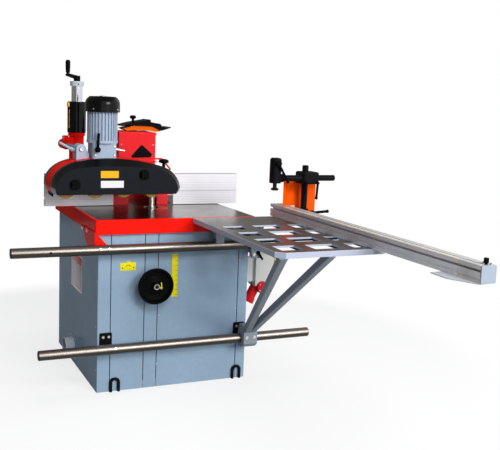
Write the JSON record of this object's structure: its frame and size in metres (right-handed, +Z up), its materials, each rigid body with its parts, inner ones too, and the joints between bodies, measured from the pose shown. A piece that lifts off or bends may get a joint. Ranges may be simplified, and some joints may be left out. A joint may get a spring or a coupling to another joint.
{
  "type": "spindle moulder",
  "caption": "Floor-standing spindle moulder with a sliding table on tube rails, a long mitre fence with a hold-down clamp, a fence hood and a roller power feeder on a column.",
  "frame": {"origin": "on the floor under the middle of the cabinet", "axes": "+X to the operator's right, +Y from the operator to the back, +Z up"},
  "size_m": [1.572, 2.589, 1.6433],
  "materials": {
    "cabinet_grey": "smooth grey-blue paint",
    "table_iron": "ground cast iron",
    "red_paint": "gloss red paint",
    "steel_tube": "polished steel",
    "bright_steel": "machined steel",
    "inner_iron": "raw casting",
    "black_steel": "black paint",
    "black_plastic": "moulded black plastic",
    "gloss_black": "gloss black moulding",
    "anthracite": "dark grey moulding",
    "pale_plastic": "pale grey plastic",
    "red_plastic": "red plastic",
    "belt_rubber": "belt rubber",
    "roller_rubber": "tan rubber",
    "frame_grey": "grey-blue paint",
    "bare_aluminium": "anodised extrusion",
    "fence_aluminium": "bright extrusion",
    "cap_plastic": "pale blue-grey cap",
    "orange_paint": "orange paint",
    "motor_grey": "cast motor housing"
  },
  "bodies": {
    "machine": {"base_frame": "cabinet_grey", "side_panels": "cabinet_grey", "front_panels": "cabinet_grey", "worktable": "table_iron", "table_skirt": "red_paint", "table_ring": "bright_steel", "upper_rail_brackets": "red_paint", "guide_rails": "steel_tube", "lower_rail_brackets": "black_steel", "foot_loops": "black_steel", "switch_box": "pale_plastic", "power_inlet": "red_plastic", "lift_guides": "bright_steel", "feeder_base": "red_paint", "feeder_column": "steel_tube"},
    "rear_door": {"rear_door": "cabinet_grey"},
    "stop_button": {"stop_button": "red_plastic"},
    "spindle_carriage": {"spindle_quill": "inner_iron", "drive_motor": "inner_iron", "drive_belt": "belt_rubber"},
    "spindle": {"spindle": "bright_steel"},
    "motor_pulley": {"motor_pulley": "inner_iron"},
    "lift_screw": {"lift_screw": "bright_steel"},
    "handwheel": {"handwheel": "black_plastic"},
    "sliding_table": {"sliding_table": "table_iron", "carriage": "frame_grey", "support_arm": "frame_grey"},
    "mitre_fence": {"mitre_fence": "bare_aluminium", "clamp_post": "black_steel", "clamp_guard": "orange_paint"},
    "fence_extension": {"fence_extension": "bare_aluminium", "fence_end_cap": "cap_plastic"},
    "clamp_sleeve": {"clamp_sleeve": "black_steel"},
    "clamp_arm": {"clamp_arm": "black_steel"},
    "clamp_lever": {"clamp_lever": "black_plastic"},
    "clamp_plunger": {"clamp_plunger": "black_steel"},
    "post_lever": {"post_lever": "black_plastic"},
    "reach_lever": {"reach_lever": "black_plastic"},
    "height_lever": {"height_lever": "black_plastic"},
    "hood": {"cutter_hood": "red_paint", "hood_fittings": "black_plastic"},
    "left_fence": {"left_fence_plate": "fence_aluminium"},
    "right_fence": {"right_fence_plate": "fence_aluminium"},
    "guard": {"guard_shoe": "orange_paint", "guard_visor": "gloss_black"},
    "feeder_sleeve": {"column_sleeve": "gloss_black"},
    "feeder_swivel": {"feeder_slide": "red_paint"},
    "feeder_head": {"feeder_arm": "bright_steel", "arm_knuckle": "motor_grey", "feeder_case": "red_paint", "feeder_covers": "anthracite", "cover_knobs": "black_plastic", "feeder_motor": "motor_grey", "fan_cover": "gloss_black"},
    "speed_lever": {"speed_lever": "black_plastic"},
    "feed_roller_1": {"feed_roller_1": "roller_rubber"},
    "feed_roller_2": {"feed_roller_2": "roller_rubber"},
    "feed_roller_3": {"feed_roller_3": "roller_rubber"},
    "feed_roller_4": {"feed_roller_4": "roller_rubber"},
    "crank": {"crank": "black_plastic"}
  },
  "joints": [
    {"name": "rear_door_hinge", "type": "hinge", "parent": "machine", "child": "rear_door", "pos_m": [-0.337, 0.4555, 0.4], "axis": [0, 0, 1], "range_deg": [0, 105]},
    {"name": "stop_press", "type": "slide", "parent": "machine", "child": "stop_button", "axis": [-1, 0, 0], "range_m": [0, 0.005], "stiffness_N_per_m": 600},
    {"name": "handwheel_turn", "type": "hinge", "parent": "machine", "child": "handwheel", "pos_m": [-0.1285, -0.52, 0.543], "axis": [0, 1, 0], "range_deg": [-5760, 0]},
    {"name": "lift_screw_turn", "type": "hinge", "parent": "machine", "child": "lift_screw", "pos_m": [-0.1285, -0.06, 0.7], "axis": [0, 0, 1], "range_deg": [-5760, 0]},
    {"name": "spindle_lift", "type": "slide", "parent": "machine", "child": "spindle_carriage", "axis": [0, 0, 1], "range_m": [-0.08, 0]},
    {"name": "motor_spin", "type": "hinge", "parent": "spindle_carriage", "child": "motor_pulley", "pos_m": [-0.01, 0.17, 0.55], "axis": [0, 0, 1], "continuous": true},
    {"name": "spindle_spin", "type": "hinge", "parent": "spindle_carriage", "child": "spindle", "pos_m": [-0.01, -0.06, 0.7], "axis": [0, 0, 1], "continuous": true},
    {"name": "table_slide", "type": "slide", "parent": "machine", "child": "sliding_table", "axis": [1, 0, 0], "range_m": [-0.95, 0.15]},
    {"name": "mitre_swing", "type": "hinge", "parent": "sliding_table", "child": "mitre_fence", "pos_m": [0.55, -0.545, 0.87], "axis": [0, 0, 1], "range_deg": [-45, 45]},
    {"name": "extension_pull", "type": "slide", "parent": "mitre_fence", "child": "fence_extension", "axis": [0, -1, 0], "range_m": [0, 0.5]},
    {"name": "clamp_height", "type": "slide", "parent": "mitre_fence", "child": "clamp_sleeve", "axis": [0, 0, 1], "range_m": [-0.07, 0.025]},
    {"name": "clamp_reach", "type": "slide", "parent": "clamp_sleeve", "child": "clamp_arm", "axis": [1, 0, 0], "range_m": [-0.07, 0.08]},
    {"name": "clamp_cam", "type": "hinge", "parent": "clamp_arm", "child": "clamp_lever", "pos_m": [0.42, -0.684, 1.166], "axis": [0, -1, 0], "range_deg": [0, 80]},
    {"name": "clamp_plunge", "type": "slide", "parent": "clamp_arm", "child": "clamp_plunger", "axis": [0, 0, -1], "range_m": [0, 0.01]},
    {"name": "post_lever_turn", "type": "hinge", "parent": "mitre_fence", "child": "post_lever", "pos_m": [0.651, -0.64, 0.9083], "axis": [1, 0, 0], "range_deg": [-60, 60]},
    {"name": "reach_lever_turn", "type": "hinge", "parent": "clamp_sleeve", "child": "reach_lever", "pos_m": [0.577, -0.7115, 1.07], "axis": [0, 1, 0], "range_deg": [-15, 45]},
    {"name": "height_lever_turn", "type": "hinge", "parent": "clamp_sleeve", "child": "height_lever", "pos_m": [0.641, -0.7115, 1.07], "axis": [0, 1, 0], "range_deg": [-45, 15]},
    {"name": "hood_depth", "type": "slide", "parent": "machine", "child": "hood", "axis": [0, 1, 0], "range_m": [-0.02, 0.06]},
    {"name": "left_fence_slide", "type": "slide", "parent": "hood", "child": "left_fence", "axis": [1, 0, 0], "range_m": [-0.08, 0.05]},
    {"name": "right_fence_slide", "type": "slide", "parent": "hood", "child": "right_fence", "axis": [1, 0, 0], "range_m": [-0.05, 0.08]},
    {"name": "guard_swivel", "type": "hinge", "parent": "hood", "child": "guard", "pos_m": [-0.051, 0.18, 1.28], "axis": [0, 0, 1], "range_deg": [-25, 25]},
    {"name": "crank_turn", "type": "hinge", "parent": "machine", "child": "crank", "pos_m": [-0.35, 0.25, 1.54], "axis": [0, 0, 1], "range_deg": [-1440, 5760]},
    {"name": "feeder_lift", "type": "slide", "parent": "machine", "child": "feeder_sleeve", "axis": [0, 0, 1], "range_m": [-0.02, 0.08]},
    {"name": "feeder_swing", "type": "hinge", "parent": "feeder_sleeve", "child": "feeder_swivel", "pos_m": [-0.35, 0.25, 1.2], "axis": [0, 0, 1], "range_deg": [-3, 3]},
    {"name": "feeder_reach", "type": "slide", "parent": "feeder_swivel", "child": "feeder_head", "axis": [0, -1, 0], "range_m": [0, 0.06]},
    {"name": "speed_lever_turn", "type": "hinge", "parent": "feeder_head", "child": "speed_lever", "pos_m": [-0.347, -0.212, 1.189], "axis": [0, -1, 0], "range_deg": [0, 60]},
    {"name": "feed_roller_1_spin", "type": "hinge", "parent": "feeder_head", "child": "feed_roller_1", "pos_m": [-0.52, -0.252, 0.999], "axis": [0, 1, 0], "continuous": true},
    {"name": "feed_roller_2_spin", "type": "hinge", "parent": "feeder_head", "child": "feed_roller_2", "pos_m": [-0.374, -0.252, 0.999], "axis": [0, 1, 0], "continuous": true},
    {"name": "feed_roller_3_spin", "type": "hinge", "parent": "feeder_head", "child": "feed_roller_3", "pos_m": [-0.228, -0.252, 0.999], "axis": [0, 1, 0], "continuous": true},
    {"name": "feed_roller_4_spin", "type": "hinge", "parent": "feeder_head", "child": "feed_roller_4", "pos_m": [-0.082, -0.252, 0.999], "axis": [0, 1, 0], "continuous": true}
  ],
  "couplings": [
    {"joint": "lift_screw_turn", "follows": "spindle_lift", "rad_per_m": 1256.6},
    {"joint": "handwheel_turn", "follows": "spindle_lift", "rad_per_m": 1256.6},
    {"joint": "spindle_spin", "follows": "motor_spin", "ratio": 1.5111},
    {"joint": "clamp_cam", "follows": "clamp_plunge", "rad_per_m": 139.63},
    {"joint": "crank_turn", "follows": "feeder_lift", "rad_per_m": 1256.6},
    {"joint": "feed_roller_2_spin", "follows": "feed_roller_1_spin", "ratio": 1},
    {"joint": "feed_roller_3_spin", "follows": "feed_roller_1_spin", "ratio": 1},
    {"joint": "feed_roller_4_spin", "follows": "feed_roller_1_spin", "ratio": 1}
  ]
}
